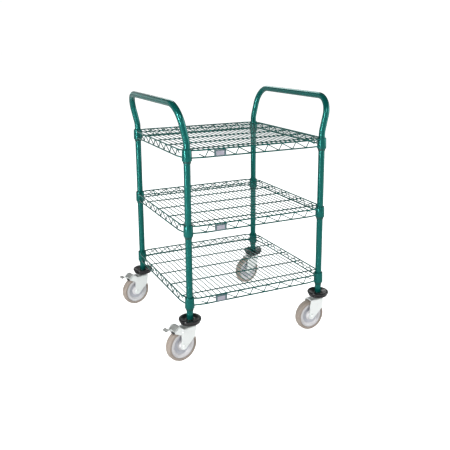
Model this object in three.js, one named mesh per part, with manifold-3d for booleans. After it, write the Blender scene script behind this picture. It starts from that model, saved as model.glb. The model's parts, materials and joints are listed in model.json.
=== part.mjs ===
// A three-shelf wire utility cart: four tube posts on swivel casters, three welded wire shelves
// clamped to the posts by split sleeves, and a U-shaped push handle plugged into each pair of posts.
// Millimetres, +Z up. X runs from one push handle to the other, Y from the front to the rear.
import * as THREE from "three";
import { mergeVertices } from "three/addons/utils/BufferGeometryUtils.js";
import Module from "manifold-3d";

const wasm = await Module();
wasm.setup();

// ---- Driving dimensions -------------------------------------------------------------------

const GAP = 0.3; // clearance between pieces that touch on the real cart
const INCH = 25.4;

const postSpacing = 22.5 * INCH; // between post axes, both ways
const postRadius = INCH / 2;
const postWall = 1.5;
const postFoot = 146; // height of the posts' lower ends
const roundSides = 12; // sides of the faceted tubes and rings

const shelfPitch = 11 * INCH; // the posts are grooved every inch, so shelves move by whole inches
const bottomShelfTop = 240; // collar top of the lowest shelf
const shelfNames = ["bottom", "middle", "top"];

const collarHeight = 42;
const collarBore = 15.5;
const collarTopRadius = 17.6;
const collarFootRadius = 18.6;
const sleeveProud = 9; // length of sleeve that shows below its collar
const sleeveSunk = 2; // from the collar's top to the sleeve's upper end
const sleeveSlit = 0.2; // half angle of the slit, in radians

const frameWire = 5.6;
const frameOffset = 16; // how far the frame wires run outside the line of the post axes
const frameTuck = 8; // the same where they are welded to a collar
const topWireDrop = 4; // from the collar's top to the upper frame wire's axis
const trussHeight = 27; // between the axes of the upper and lower frame wires
const topBend = 18; // length of the bent end of an upper frame wire
const footBend = 42;
const trussWire = 3.6;
const trussPitch = 60.9;
const trussSteepRun = 14; // length along the shelf that each steep leg takes
const trussSteepLegs = 8;
const trussTopDrop = 3.4; // from the upper frame wire's axis to the zigzag's upper bends
const trussWeld = 3; // half length of the welds at the outermost lower bends
const matWire = 3;
const matCount = 29;
const matPitch = (2 * (postSpacing / 2 + frameOffset)) / (matCount + 1);
const matSink = 0.2; // how far the mat's tops lie below the frame wire's
const matTop = -topWireDrop + frameWire / 2 - matSink; // from the collar's top
const wireEnd = 1; // how far the mat and support wires stop short of the frame wires' axes
const matSideSink = 0.6; // how much lower the two outermost mat wires lie, sunk into the supports
const supportWire = 4.8;
const supportCount = 5;
const supportPitch = 121.5;

const labelWidth = 48;
const labelHeight = 25;
const labelSheet = 1.6;
const labelLip = 5; // depth of the lip behind the plate
const labelCentre = -164; // along X
const labelDrop = 7.2; // from the collar top to the holder's upper edge, just under the upper frame wire

const handleRise = 160; // from the top shelf's collar to the crossbar's axis
const handleLean = 32; // how far the crossbar stands outside the posts
const handleStraight = 24; // height above the collar where the leg leans outward
const handleBend = 12; // length of leg on each side of that point that the bend takes up
const handleCorner = 75; // bend radius of the crossbar's corners
const handlePlug = 45; // length of the reduced end inside each post
const handleNeck = 6; // how far the reduced end runs up inside the handle
const handleSides = 10;

const wheelRadius = 62.5;
const tyreHalfWidth = 15.5;
const tyreInner = 50;
const hubHalfWidth = 17.5;
const axleRadius = 5;
const wheelSides = 16;
const trail = 1.625 * INCH; // from the swivel axis to the axle
const axle = { reach: trail, height: wheelRadius };

const forkInner = 19;
const forkSheet = 3;
const crownFoot = 127.5;
const crownTop = 131.5;
const raceTop = 136.1;
const stemPlateTop = 140.5;
const stemPlateRadius = 24;
const stemRadius = 9;
const stemTop = 190;
const bumperRadius = 43;
const raceInner = 12;
const raceOuter = 20;
const crownFront = -14; // reach of the fork's crown ahead of the swivel axis
const crownRear = 45; // and behind it
const legRear = 51; // reach of the leg's rear edge under the crown
const forkTip = 14; // radius of the cheek round the axle
const axleHole = axleRadius + GAP + 0.1; // radius of the holes round the axle
const boltHead = { radius: 9, height: 5 };
const nutHeight = 6.5;

const brakePivot = { reach: 44, height: 120 };
const rivetRadius = 4.6;
const rivetHeight = 1.6;
const pedalInner = forkInner + forkSheet + 0.5;
const pedalSheet = 2.5;
// Middle of the plate that joins the pedal's cheeks, as [reach, height]: level, then sloping down.
const pedalRoof = [[56, 142.5], [65.5, 142.5], [80.5, 129.3]];
const padCentre = { reach: 107, height: 139.6 };
const padLength = 14;
const padWidth = 26;
const padThickness = 4;
const armWidth = 14;
const armThickness = 3;
const padTilt = THREE.MathUtils.degToRad(20);
const shoeTo = 80; // reach of the brake shoe's far end
const shoeWidth = 26;
const shoeClear = 6; // height of the raised shoe over the tread

const half = postSpacing / 2;
const corners = {
  front_left: [-half, -half],
  front_right: [half, -half],
  rear_left: [-half, half],
  rear_right: [half, half],
};
const brakedCorners = ["front_left", "rear_left"];
// How far each caster is turned from trailing straight to -X, in degrees.
const parkedSwivel = { front_left: 11, front_right: 2, rear_left: 12, rear_right: 12 };
const shelfTops = shelfNames.map((name, i) => bottomShelfTop + i * shelfPitch);
const topCollar = shelfTops.at(-1);
const postTop = topCollar - collarHeight / 2;

// ---- Materials ----------------------------------------------------------------------------

const finish = (colour, roughness, metalness) =>
  new THREE.MeshStandardMaterial({ color: colour, roughness, metalness });

const finishes = {
  epoxy: () => finish(0x17786a, 0.38, 0.1),
  sleeve: () => finish(0x15604f, 0.5, 0),
  zinc: () => finish(0xd9e0dd, 0.28, 0.9),
  tread: () => finish(0x958a80, 0.6, 0),
  hub: () => finish(0xc3c6cf, 0.45, 0),
  rubber: () => finish(0x17151a, 0.65, 0),
  label: () => finish(0x9aa0b4, 0.45, 0),
};

// ---- Geometry helpers ---------------------------------------------------------------------

const part = new THREE.Group();

function addMesh(parent, name, geometry, finishName) {
  const mesh = new THREE.Mesh(geometry, finishes[finishName]());
  mesh.name = name;
  parent.add(mesh);
  return mesh;
}

function solidOf(geometry) {
  const bare = geometry.clone();
  bare.deleteAttribute("normal");
  bare.deleteAttribute("uv");
  const merged = mergeVertices(bare, 1e-3);
  return new wasm.Manifold(
    new wasm.Mesh({
      numProp: 3,
      vertProperties: new Float32Array(merged.attributes.position.array),
      triVerts: new Uint32Array(merged.index.array),
    }),
  );
}

function geometryOf(solid) {
  const mesh = solid.getMesh();
  const geometry = new THREE.BufferGeometry();
  geometry.setAttribute("position", new THREE.BufferAttribute(mesh.vertProperties, 3));
  geometry.setIndex(new THREE.BufferAttribute(mesh.triVerts, 1));
  return geometry.toNonIndexed();
}

function joined(geometries) {
  const solids = geometries.map(solidOf);
  return geometryOf(solids.reduce((whole, piece) => whole.add(piece)));
}

// A solid of revolution about Z. The profile's points are [radius, height], counter-clockwise.
function turned(profile, sides) {
  const points = profile.map(([radius, height]) => new THREE.Vector2(radius, height));
  return new THREE.LatheGeometry(points, sides).rotateX(Math.PI / 2);
}

// A hollow or solid of revolution whose profile closes on itself.
const turnedRing = (profile, sides) => turned([...profile, profile[0]], sides);

// The same about Y, for wheels.
const turnedRingOnY = (profile, sides) => turnedRing(profile, sides).rotateX(Math.PI / 2);

function plate(outline, thickness, holes = []) {
  const shape = new THREE.Shape(outline.map(([x, y]) => new THREE.Vector2(x, y)));
  holes.forEach((hole) => shape.holes.push(hole));
  return new THREE.ExtrudeGeometry(shape, { depth: thickness, bevelEnabled: false });
}

// A plate drawn in X and Z that is `thickness` thick in Y, from y = near to y = near + thickness.
function uprightPlate(outline, near, thickness, holes = []) {
  const geometry = plate(outline, thickness, holes).rotateX(Math.PI / 2);
  return geometry.translate(0, near + thickness, 0);
}

// The points of a regular polygon inside a circle, counter-clockwise.
function circlePoints(radius, sides) {
  return Array.from({ length: sides }, (unused, i) => {
    const angle = (2 * Math.PI * i) / sides;
    return new THREE.Vector2(radius * Math.cos(angle), radius * Math.sin(angle));
  });
}

function roundHole(x, y, radius, sides) {
  const centre = new THREE.Vector2(x, y);
  return new THREE.Path(circlePoints(radius, sides).map((point) => point.add(centre)));
}

// The mitred outline of a flat-sided wire that follows a polyline of [x, y] points.
function wireOutline(points, width) {
  const line = points.map(([x, y]) => new THREE.Vector2(x, y));
  const direction = (i) => line[i + 1].clone().sub(line[i]).normalize();
  const sideOf = (sign) =>
    line.map((point, i) => {
      const before = direction(Math.max(i - 1, 0));
      const after = direction(Math.min(i, line.length - 2));
      const normal = new THREE.Vector2(-before.y - after.y, before.x + after.x).normalize();
      const stretch = 1 / Math.max(0.45, normal.dot(new THREE.Vector2(-before.y, before.x)));
      return point.clone().addScaledVector(normal, (sign * width * stretch) / 2).toArray();
    });
  return [...sideOf(-1), ...sideOf(1).reverse()];
}

function box(from, to) {
  const size = to.map((value, i) => value - from[i]);
  const geometry = new THREE.BoxGeometry(...size);
  return geometry.translate(...from.map((value, i) => value + size[i] / 2));
}

// A curve through listed points whose extrusion steps fall on those points.
class ListedCurve extends THREE.Curve {
  constructor(points) {
    super();
    this.points = points;
  }

  getUtoTmapping(u) {
    return u;
  }

  getPoint(t) {
    const place = t * (this.points.length - 1);
    const i = Math.min(Math.floor(place), this.points.length - 2);
    return this.points[i].clone().lerp(this.points[i + 1], place - i);
  }

  getTangent(t) {
    const last = this.points.length - 1;
    const i = Math.round(t * last);
    const step = (j) => this.points[j + 1].clone().sub(this.points[j]).normalize();
    return step(Math.max(i - 1, 0)).add(step(Math.min(i, last - 1))).normalize();
  }
}

function tubeAlong(points, radius, sides) {
  const section = new THREE.Shape(circlePoints(radius, sides));
  const steps = points.length - 1;
  const options = { steps, bevelEnabled: false, extrudePath: new ListedCurve(points) };
  return new THREE.ExtrudeGeometry(section, options);
}

// ---- Posts and push handles ---------------------------------------------------------------

function postGeometry() {
  const bore = postRadius - postWall;
  const profile = [
    [bore, postFoot],
    [postRadius, postFoot],
    [postRadius, postTop],
    [bore, postTop],
  ];
  return turnedRing(profile, roundSides);
}

// The handle's half route from a post to the middle of the crossbar, for the leg at -Y.
// It stands upright, leans outward, and turns through the corner in the leaning plane.
function handleRoute(outward) {
  const bendEnd = topCollar + handleStraight;
  const rise = topCollar + handleRise - bendEnd;
  const slope = Math.hypot(rise, handleLean);
  const onLean = (along, y) =>
    new THREE.Vector3(
      outward * (half + (along / slope) * handleLean),
      y,
      bendEnd + (along / slope) * rise,
    );
  const route = [
    new THREE.Vector3(outward * half, -half, postTop + GAP),
    new THREE.Vector3(outward * half, -half, bendEnd - handleBend),
    onLean(handleBend, -half),
  ];
  const turns = 5;
  for (let i = 0; i <= turns; i++) {
    const angle = ((Math.PI / 2) * i) / turns;
    const along = slope - handleCorner + handleCorner * Math.sin(angle);
    route.push(onLean(along, -half + handleCorner * (1 - Math.cos(angle))));
  }
  return route;
}

function handleGeometry(outward) {
  const leg = handleRoute(outward);
  const otherLeg = leg.map((point) => new THREE.Vector3(point.x, -point.y, point.z)).reverse();
  const tube = tubeAlong([...leg, ...otherLeg], postRadius, handleSides);
  const plugRadius = postRadius - postWall - 5 * GAP;
  const plugs = [-half, half].map((y) => {
    const profile = [
      [0, postTop - handlePlug],
      [plugRadius, postTop - handlePlug],
      [plugRadius, postTop + handleNeck],
      [0, postTop + handleNeck],
    ];
    return turned(profile, roundSides).translate(outward * half, y, 0);
  });
  return joined([tube, ...plugs]);
}

// ---- Shelves ------------------------------------------------------------------------------

function collarGeometry(x, y) {
  const profile = [
    [collarBore, -collarHeight],
    [collarFootRadius, -collarHeight],
    [collarTopRadius, 0],
    [collarBore, 0],
  ];
  return turnedRing(profile, roundSides).translate(x, y, 0);
}

// One frame wire along X on the front side, welded to a collar at each end.
function frameWireGeometry(axisHeight, bend) {
  const weld = half - collarBore;
  const points = [
    [-weld, -half - frameTuck],
    [-weld + bend, -half - frameOffset],
    [weld - bend, -half - frameOffset],
    [weld, -half - frameTuck],
  ];
  const geometry = plate(wireOutline(points, frameWire), frameWire);
  return geometry.translate(0, 0, axisHeight - frameWire / 2);
}

// The zigzag between the two frame wires of one side, on their inner faces: steep legs that rise
// to the right, joined by shallow ones, with half a shallow leg at each end. It runs a hair clear
// of the frame wires and is welded to the lower one.
function trussGeometry() {
  const high = -topWireDrop - trussTopDrop;
  const low = -topWireDrop - trussHeight;
  const middle = (high + low) / 2;
  const outermost = ((trussSteepLegs - 1) * trussPitch + trussSteepRun) / 2;
  const halfShallow = (trussPitch - trussSteepRun) / 2;
  const points = [[-outermost - halfShallow, middle]];
  for (let i = 0; i < trussSteepLegs; i++) {
    const foot = -outermost + i * trussPitch;
    points.push([foot, low], [foot + trussSteepRun, high]);
  }
  points.push([outermost + halfShallow, middle]);
  const outerFace = -half - frameOffset + frameWire / 2 + GAP;
  const wave = uprightPlate(wireOutline(points, trussWire), outerFace, trussWire);
  const weldDepth = 1;
  const weldHeight = 1.5;
  const welds = [-outermost, outermost - trussSteepRun].map((x) =>
    box(
      [x - trussWeld, outerFace - GAP - weldDepth, low - weldHeight],
      [x + trussWeld, outerFace + weldDepth, low + weldHeight],
    ),
  );
  return joined([wave, ...welds]);
}

function sideGeometries() {
  const high = -topWireDrop;
  return [
    frameWireGeometry(high, topBend),
    frameWireGeometry(high - trussHeight, footBend),
    trussGeometry(),
  ];
}

// The mat wires run from the front frame wire to the rear one. The two outermost would meet the
// collars, so they end at the outermost supports instead.
function matGeometries() {
  const last = matCount - 1;
  return Array.from({ length: matCount }, (unused, i) => {
    const x = (i - last / 2) * matPitch;
    const atSide = i === 0 || i === last;
    const top = atSide ? matTop - matSideSink : matTop;
    const outerSupport = ((supportCount - 1) * supportPitch + supportWire) / 2;
    const reach = atSide ? outerSupport : half + frameOffset - wireEnd;
    return box([x - matWire / 2, -reach, top - matWire], [x + matWire / 2, reach, top]);
  });
}

function supportGeometries() {
  const top = matTop - matWire - GAP;
  const reach = half + frameOffset - wireEnd;
  return Array.from({ length: supportCount }, (unused, i) => {
    const y = (i - (supportCount - 1) / 2) * supportPitch;
    const edge = supportWire / 2;
    return box([-reach, y - edge, top - supportWire], [reach, y + edge, top]);
  });
}

// The shelf's own frame has its origin on the collars' upper faces. Its four sides are turned
// copies of one side, so the truss runs the same way round the whole shelf.
function shelfGeometry() {
  const pieces = [];
  for (let quarter = 0; quarter < 4; quarter++) {
    const turn = (quarter * Math.PI) / 2;
    sideGeometries().forEach((geometry) => pieces.push(geometry.rotateZ(turn)));
  }
  Object.values(corners).forEach(([x, y]) => pieces.push(collarGeometry(x, y)));
  return joined([...pieces, ...matGeometries(), ...supportGeometries()]);
}

// A split plastic sleeve that wedges a collar on a post.
function sleeveGeometry() {
  const inner = postRadius + 0.5;
  const outer = collarBore - 0.9;
  const outline = [];
  const sweep = 2 * Math.PI - 2 * sleeveSlit;
  const ringPoint = (radius, i) => {
    const angle = sleeveSlit + (sweep * i) / roundSides;
    return [radius * Math.cos(angle), radius * Math.sin(angle)];
  };
  for (let i = 0; i <= roundSides; i++) outline.push(ringPoint(outer, i));
  for (let i = roundSides; i >= 0; i--) outline.push(ringPoint(inner, i));
  const length = collarHeight + sleeveProud - sleeveSunk;
  return plate(outline, length).translate(0, 0, -sleeveSunk - length);
}

// A plate in front of the truss, with a lip behind its upper edge that hooks under the top wire.
function labelHolderGeometry() {
  const front = labelSheet / 2;
  const lower = -labelHeight + labelSheet / 2;
  const upper = -labelSheet / 2;
  const line = [[front, lower], [front, upper], [labelLip, upper]];
  const outline = wireOutline(line, labelSheet);
  return plate(outline, labelWidth)
    .rotateX(Math.PI / 2)
    .rotateZ(Math.PI / 2)
    .translate(-labelWidth / 2, 0, 0);
}

// ---- Casters ------------------------------------------------------------------------------

// A two-step rubber bumper with a dished top that the post stands in.
function bumperGeometry() {
  const floor = stemPlateTop + GAP + 0.2;
  const seat = postFoot - GAP;
  const profile = [
    [stemRadius + 0.6, floor],
    [bumperRadius - 6, floor],
    [bumperRadius - 5, floor + 5.5],
    [bumperRadius, floor + 8],
    [bumperRadius, floor + 15],
    [bumperRadius - 5, floor + 19],
    [bumperRadius - 10, floor + 18],
    [postRadius + 3.5, floor + 12],
    [postRadius + 0.4, floor + 12],
    [postRadius + 0.4, seat],
    [stemRadius + 0.6, seat],
  ];
  return turnedRing(profile, roundSides);
}

function stemGeometry() {
  const profile = [
    [0, raceTop + GAP],
    [stemPlateRadius, raceTop + GAP],
    [stemPlateRadius, stemPlateTop],
    [stemRadius, stemPlateTop],
    [stemRadius, stemTop],
    [0, stemTop],
  ];
  return turned(profile, roundSides);
}

function raceGeometry() {
  const profile = [
    [raceInner, crownTop + GAP],
    [raceOuter, crownTop + GAP],
    [raceOuter, raceTop],
    [raceInner, raceTop],
  ];
  return turnedRing(profile, roundSides);
}

// The caster's own frame has its origin on the floor under the swivel axis, and trails to -X.
// Points on a cheek are given as [reach behind the swivel axis, height].
const trailing = ([reach, height]) => [-reach, height];

function forkLegOutline() {
  const arc = [];
  const turns = 6;
  for (let i = 0; i <= turns; i++) {
    const angle = Math.PI * (1.25 + (0.75 * i) / turns);
    const reach = trail + forkTip * Math.cos(angle);
    arc.push([reach, wheelRadius + forkTip * Math.sin(angle)]);
  }
  const front = [[crownFront, crownTop], [-10.5, 93]];
  const rear = [[legRear + 1, 86], [legRear, 112], [crownRear, crownTop]];
  return [...front, ...arc, ...rear].map(trailing);
}

function forkGeometry() {
  const outer = forkInner + forkSheet;
  const hole = () => roundHole(-trail, wheelRadius, axleHole, 8);
  const legs = [-outer, forkInner].map((near) =>
    uprightPlate(forkLegOutline(), near, forkSheet, [hole()]),
  );
  const crown = box([-crownRear, -outer, crownFoot], [-crownFront, outer, crownTop]);
  return joined([crown, ...legs]);
}

function tyreGeometry() {
  const shoulder = tyreHalfWidth - 6;
  const profile = [
    [tyreInner, -tyreHalfWidth + 2],
    [wheelRadius - 5, -tyreHalfWidth],
    [wheelRadius, -shoulder],
    [wheelRadius, shoulder],
    [wheelRadius - 5, tyreHalfWidth],
    [tyreInner, tyreHalfWidth - 2],
  ];
  return turnedRingOnY(profile, wheelSides).translate(-trail, 0, wheelRadius);
}

function hubGeometry() {
  const rim = tyreInner - GAP;
  const bore = axleRadius + 0.5;
  const profile = [
    [bore, -hubHalfWidth],
    [13, -hubHalfWidth],
    [16, -7],
    [rim - 12, -7],
    [rim - 9, -12.5],
    [rim, -12.5],
    [rim, 12.5],
    [rim - 9, 12.5],
    [rim - 12, 7],
    [16, 7],
    [13, hubHalfWidth],
    [bore, hubHalfWidth],
  ];
  return turnedRingOnY(profile, wheelSides).translate(-trail, 0, wheelRadius);
}

// A cylinder along Y between y = from and y = to, round a point of the cheeks.
function cylinderOnY({ reach, height }, radius, sides, from, to) {
  const geometry = new THREE.CylinderGeometry(radius, radius, to - from, sides);
  return geometry.translate(-reach, (from + to) / 2, height);
}

function axleGeometry() {
  const face = forkInner + forkSheet + GAP;
  const shank = cylinderOnY(axle, axleRadius, 8, -face - 1, face + nutHeight + 1.5);
  const head = cylinderOnY(axle, boltHead.radius, 6, -face - boltHead.height, -face);
  return joined([shank, head]);
}

function axleNutGeometry() {
  const seat = forkInner + forkSheet + GAP;
  const nut = circlePoints(boltHead.radius, 6).map(({ x, y }) => [x - trail, y + wheelRadius]);
  const hole = roundHole(-trail, wheelRadius, axleHole, 8);
  return uprightPlate(nut, seat, nutHeight, [hole]);
}

// The brake pedal is a channel folded over the fork, with an arm that carries a foot pad.
function pedalGeometry() {
  const outer = pedalInner + pedalSheet;
  const cheek = [
    [38, 114],
    [50, 110.5],
    [66, 117],
    [80, 124],
    [82, 129.8],
    [66, 143.8],
    [57, 143.8],
    [38, 129],
  ].map(trailing);
  const roof = pedalRoof.map(trailing);
  const padStep = [(Math.cos(padTilt) * padLength) / 2, (Math.sin(padTilt) * padLength) / 2];
  const padNear = [padCentre.reach - padStep[0], padCentre.height + padStep[1]];
  const padFar = [padCentre.reach + padStep[0], padCentre.height - padStep[1]];
  const arm = [[79, 130.6], [86, 130], [padNear[0] + 2, padNear[1] - 0.7]].map(trailing);
  const pad = [padNear, padFar].map(trailing);
  const rivet = (from, to) => cylinderOnY(brakePivot, rivetRadius, 8, from, to);
  return joined([
    rivet(-outer - rivetHeight, -outer + 1),
    rivet(outer - 1, outer + rivetHeight),
    uprightPlate(cheek, -outer, pedalSheet),
    uprightPlate(cheek, pedalInner, pedalSheet),
    uprightPlate(wireOutline(roof, pedalSheet), -outer, 2 * outer),
    uprightPlate(wireOutline(arm, armThickness), -armWidth / 2, armWidth),
    uprightPlate(wireOutline(pad, padThickness), -padWidth / 2, padWidth),
  ]);
}

// The brake shoe fills the space between the tread and the sloping part of the pedal's roof.
function brakeShoeGeometry() {
  const [shoeFrom, bendHeight] = pedalRoof[1];
  const [endReach, endHeight] = pedalRoof[2];
  const slope = (endHeight - bendHeight) / (endReach - shoeFrom);
  const drop = GAP + (pedalSheet / 2) * Math.hypot(1, slope);
  const roofHeight = (reach) => bendHeight + slope * (reach - shoeFrom) - drop;
  const treadHeight = (reach) =>
    wheelRadius + Math.sqrt(wheelRadius ** 2 - (reach - trail) ** 2) + shoeClear;
  const lower = [shoeFrom, (shoeFrom + shoeTo) / 2, shoeTo].map((reach) => [
    reach,
    treadHeight(reach),
  ]);
  const upper = [shoeTo, shoeFrom].map((reach) => [reach, roofHeight(reach)]);
  return uprightPlate([...lower, ...upper].map(trailing), -shoeWidth / 2, shoeWidth);
}

function addCaster(name, [x, y]) {
  const mounting = new THREE.Group();
  mounting.position.set(x, y, 0);
  cart.add(mounting);
  addMesh(mounting, `bumper_${name}`, bumperGeometry(), "rubber");
  addMesh(mounting, `stem_${name}`, stemGeometry(), "zinc");

  const swivel = new THREE.Group();
  swivel.rotation.z = THREE.MathUtils.degToRad(parkedSwivel[name]);
  mounting.add(swivel);
  addMesh(swivel, `ball_race_${name}`, raceGeometry(), "zinc");
  addMesh(swivel, `fork_${name}`, forkGeometry(), "zinc");
  addMesh(swivel, `tyre_${name}`, tyreGeometry(), "tread");
  addMesh(swivel, `hub_${name}`, hubGeometry(), "hub");
  addMesh(swivel, `axle_${name}`, axleGeometry(), "zinc");
  addMesh(swivel, `axle_nut_${name}`, axleNutGeometry(), "zinc");
  if (brakedCorners.includes(name)) {
    addMesh(swivel, `brake_pedal_${name}`, pedalGeometry(), "zinc");
    addMesh(swivel, `brake_shoe_${name}`, brakeShoeGeometry(), "rubber");
  }
}

// ---- Assembly -----------------------------------------------------------------------------

// The cart's group is moved so that the part's origin is under the middle of its whole box: the
// foot pads reach further to -X than the handles do to +X.
const cart = new THREE.Group();
part.add(cart);

for (const [name, place] of Object.entries(corners)) {
  const post = addMesh(cart, `post_${name}`, postGeometry(), "epoxy");
  post.position.set(...place, 0);
  addCaster(name, place);
}

addMesh(cart, "handle_left", handleGeometry(-1), "epoxy");
addMesh(cart, "handle_right", handleGeometry(1), "epoxy");

const shelf = shelfGeometry();
shelfNames.forEach((shelfName, i) => {
  const level = new THREE.Group();
  level.position.z = shelfTops[i];
  cart.add(level);
  addMesh(level, `shelf_${shelfName}`, shelf, "epoxy");
  for (const [name, place] of Object.entries(corners)) {
    const sleeve = addMesh(level, `sleeve_${shelfName}_${name}`, sleeveGeometry(), "sleeve");
    sleeve.position.set(...place, 0);
  }
  const holder = addMesh(level, `label_holder_${shelfName}`, labelHolderGeometry(), "label");
  const holderFace = -half - frameOffset - frameWire / 2 - GAP - labelSheet;
  holder.position.set(labelCentre, holderFace, -labelDrop);
});

const bounds = new THREE.Box3().setFromObject(cart, true);
cart.position.x = -(bounds.min.x + bounds.max.x) / 2;

export default part;
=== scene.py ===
"""Looks of the wire shelf cart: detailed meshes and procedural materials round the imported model.

Metres, +Z up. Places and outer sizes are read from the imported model's boxes; finer sizes are given here.
"""

import json
import math

import bmesh
import bpy
from mathutils import Matrix, Vector


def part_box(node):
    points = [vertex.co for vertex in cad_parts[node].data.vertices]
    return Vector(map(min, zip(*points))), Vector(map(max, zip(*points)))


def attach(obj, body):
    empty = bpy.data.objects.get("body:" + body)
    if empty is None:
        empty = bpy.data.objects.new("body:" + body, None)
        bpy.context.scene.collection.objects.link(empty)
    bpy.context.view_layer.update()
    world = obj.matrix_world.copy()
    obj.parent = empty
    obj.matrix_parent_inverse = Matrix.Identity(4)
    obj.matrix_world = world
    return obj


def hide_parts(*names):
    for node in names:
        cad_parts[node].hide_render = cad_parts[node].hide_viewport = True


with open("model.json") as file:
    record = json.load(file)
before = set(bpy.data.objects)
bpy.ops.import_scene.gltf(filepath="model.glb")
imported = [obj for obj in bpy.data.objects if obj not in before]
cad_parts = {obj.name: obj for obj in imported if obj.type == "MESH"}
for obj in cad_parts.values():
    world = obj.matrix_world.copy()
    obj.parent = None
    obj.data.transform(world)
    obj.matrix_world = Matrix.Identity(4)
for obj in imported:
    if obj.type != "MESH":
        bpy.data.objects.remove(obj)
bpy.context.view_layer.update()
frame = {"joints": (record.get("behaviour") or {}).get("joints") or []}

MM = 0.001
INCH = 0.0254
CORNERS = ("front_left", "front_right", "rear_left", "rear_right")
BRAKED = ("front_left", "rear_left")
SHELVES = ("bottom", "middle", "top")

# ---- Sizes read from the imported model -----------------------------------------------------


def middle(node):
    """The middle of a node's box at rest."""
    low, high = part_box(node)
    return (low + high) / 2


POST_AXIS = {name: middle(f"post_{name}") for name in CORNERS}
CENTRE = sum(POST_AXIS.values(), Vector()) / len(CORNERS)
HALF = (POST_AXIS["front_right"].x - POST_AXIS["front_left"].x) / 2
POST_LOW, POST_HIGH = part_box("post_front_left")
POST_RADIUS = (POST_HIGH.x - POST_LOW.x) / 2
SHELF_TOP = {name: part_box(f"shelf_{name}")[1].z for name in SHELVES}
COLLAR_HEIGHT = SHELF_TOP["top"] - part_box("shelf_top")[0].z
WHEEL_SPIN = {
    name: next(j for j in frame["joints"] if j["name"] == f"wheel_spin_{name}")
    for name in CORNERS
}
WHEEL_RADIUS = WHEEL_SPIN["front_left"]["pos_m"][2]

# ---- Sizes of the finer shapes ------------------------------------------------------------

SHARP_ANGLE = 35  # degrees between faces that shade as an edge
BEVEL_ANGLE = 40  # degrees from which an edge is bevelled
TINY = 1e-6
GAP = 0.3 * MM  # left between pieces that really touch

POST_WALL = 1.5 * MM
POST_EDGE = 0.5 * MM
GROOVE_DEPTH = 0.45 * MM
GROOVE_HALF = 0.9 * MM
FIRST_GROOVE = 8 * MM
LAST_GROOVE = 4 * MM  # least distance from the post's upper end
HANDLE_STRAIGHT = 24 * MM
HANDLE_FOOT_BEND = 90 * MM
HANDLE_CORNER = 75 * MM
HANDLE_CORNER_SHARE = 0.9  # of the straight runs, left to the corners
HANDLE_CHAMFER = 0.08
PLUG_WALL = 3 * MM  # how much less radius than the tube a handle's plug has
PLUG_OVERLAP = 5 * MM

FRAME_WIRE = 2.8 * MM  # radii of the wires
MAT_WIRE = 1.7 * MM
SUPPORT_WIRE = 2.4 * MM
TRUSS_WIRE = 1.8 * MM
FRAME_OFFSET = 16 * MM  # from the posts' axes out to the frame wires
FRAME_TUCK = 8 * MM  # the same at the collars
FRAME_BEND = 30 * MM
TOP_WIRE_DROP = 4 * MM
TOP_BEND = 18 * MM  # how far along the shelf a frame wire takes to come out from its collar
FOOT_BEND = 42 * MM
WELD_SINK = 0.2 * MM  # how deep crossing wires sink into each other
TRUSS_HEIGHT = 27 * MM
TRUSS_TOP_DROP = 2.2 * MM
TRUSS_SINK = 0.3 * MM
TRUSS_BEND = 4 * MM
TRUSS_PITCH = 60.9 * MM
TRUSS_STEEP_RUN = 14 * MM  # how far along the shelf a steep leg goes
TRUSS_STEEP_LEGS = 8
MAT_COUNT = 29
MAT_PITCH = 2 * (HALF + FRAME_OFFSET) / (MAT_COUNT + 1)
SUPPORT_PITCH = 121.5 * MM
SUPPORT_COUNT = 5
MAT_END = 1 * MM  # how far short of the frame wire's axis the mat wires stop
COLLAR_BORE = 15.5 * MM
COLLAR_FOOT = 18.6 * MM
COLLAR_HEAD = 17.6 * MM
SLEEVE_SLIT = 0.05  # half a slit, in radians
LABEL_SHEET = 1.4 * MM
CARD_SIDE = 8 * MM
CARD_EDGE = 4 * MM
CARD_DEPTH = 0.5 * MM

TRAIL = 1.625 * INCH
BALL_COUNT = 22
BALL_RADIUS = 1.6 * MM
RACE_RADIUS = 20 * MM
STEM_BORE = 9.6 * MM
FORK_INNER = 19 * MM  # half the space between the cheeks
FORK_SHEET = 3 * MM
FORK_CROWN_SHEET = 4 * MM
FORK_TIP = 14 * MM
TYRE_HALF = 15.5 * MM
RIM_RADIUS = 49.7 * MM
WEB_HALF = 7 * MM
BOSS_COUNT = 6
BOSS_CIRCLE = 29 * MM
AXLE_RADIUS = 5 * MM
HEX_WIDTH = 15 * MM
WASHER_RADIUS = 8.6 * MM

# The brake's points are (reach behind the swivel axis, height).
BRAKE_PIVOT = (44 * MM, 120 * MM)
PEDAL_ROOF = ((56 * MM, 142 * MM), (65.5 * MM, 142 * MM), (80.5 * MM, 128.8 * MM))
PEDAL_SHEET = 2.5 * MM
PEDAL_GAP = 0.5 * MM
GRIP_LIFT = 1.4 * MM
GRIP_SHEET = 0.8 * MM
GRIP_SHARE = 0.72  # of the channel's width
PAD_CENTRE = (107 * MM, 139.6 * MM)
PAD_TILT = math.radians(20)
PAD_HALF_LENGTH = 7 * MM
PAD_HALF_WIDTH = 12.8 * MM
PAD_HALF_SHEET = 1.8 * MM
RIB_COUNT = 4
RIB_HALF_WIDTH = 11 * MM
ARM_SHEET = 2.4 * MM
ARM_HALF_WIDTH = 6.5 * MM
SHOE_END = 80 * MM
SHOE_CLEAR = 6.1 * MM  # between the raised shoe and the tread
SHOE_HALF_WIDTH = 13 * MM
SHOE_STEPS = 6

# ---- Materials ----------------------------------------------------------------------------


def shader_of(tree):
    return tree.nodes["Principled BSDF"]


def noise(tree, scale, detail):
    """A 0 to 1 noise in the piece's own coordinates."""
    coords = tree.nodes.new("ShaderNodeTexCoord")
    texture = tree.nodes.new("ShaderNodeTexNoise")
    texture.inputs["Scale"].default_value = scale
    texture.inputs["Detail"].default_value = detail
    tree.links.new(coords.outputs["Object"], texture.inputs["Vector"])
    return texture.outputs["Fac"]


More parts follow.
